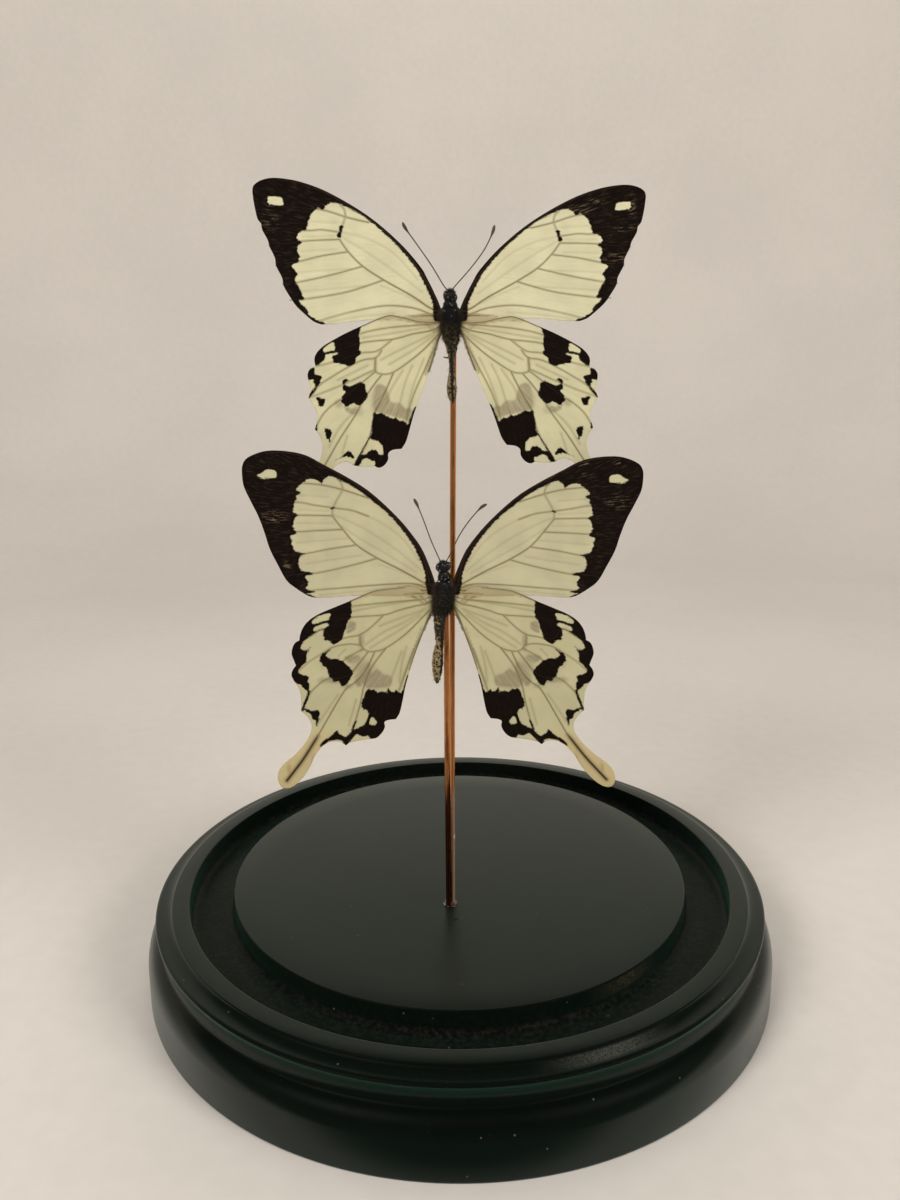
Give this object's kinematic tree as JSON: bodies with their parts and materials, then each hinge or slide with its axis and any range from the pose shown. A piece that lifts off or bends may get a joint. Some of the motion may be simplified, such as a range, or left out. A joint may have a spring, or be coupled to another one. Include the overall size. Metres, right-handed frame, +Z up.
{
  "type": "mounted butterflies on a dome base",
  "caption": "Dried swallowtail butterflies held one above the other on thin copper rods in a round black base grooved for a bell jar.",
  "frame": {"origin": "middle of the base's underside", "axes": "+Z up along the rods; the butterflies' upper sides face -Y; +X to the right as seen from -Y"},
  "size_m": [0.1596, 0.1596, 0.1864],
  "materials": {
    "black_paint": "satin black paint on a turned wood fibre base",
    "copper": "bright copper with a darker tarnish",
    "clear_glue": "hardened clear glue",
    "wing_upper": "matte cream wing scales with black margins and spots",
    "wing_lower": "matte greenish cream wing scales with black margins and spots",
    "body_fur": "black hairy thorax, brown to tan scaled abdomen",
    "horn": "dark brown horny shafts"
  },
  "bodies": {
    "root": {"base": "black_paint", "glue_bead": "clear_glue", "lower_rod": "copper", "upper_rod": "copper", "upper_body": "body_fur", "upper_left_forewing": "wing_upper", "upper_right_forewing": "wing_upper", "upper_left_hindwing": "wing_upper", "upper_right_hindwing": "wing_upper", "upper_left_antenna": "horn", "upper_right_antenna": "horn", "lower_body": "body_fur", "lower_left_forewing": "wing_lower", "lower_right_forewing": "wing_lower", "lower_left_hindwing": "wing_lower", "lower_right_hindwing": "wing_lower", "lower_left_antenna": "horn", "lower_right_antenna": "horn"}
  },
  "joints": []
}
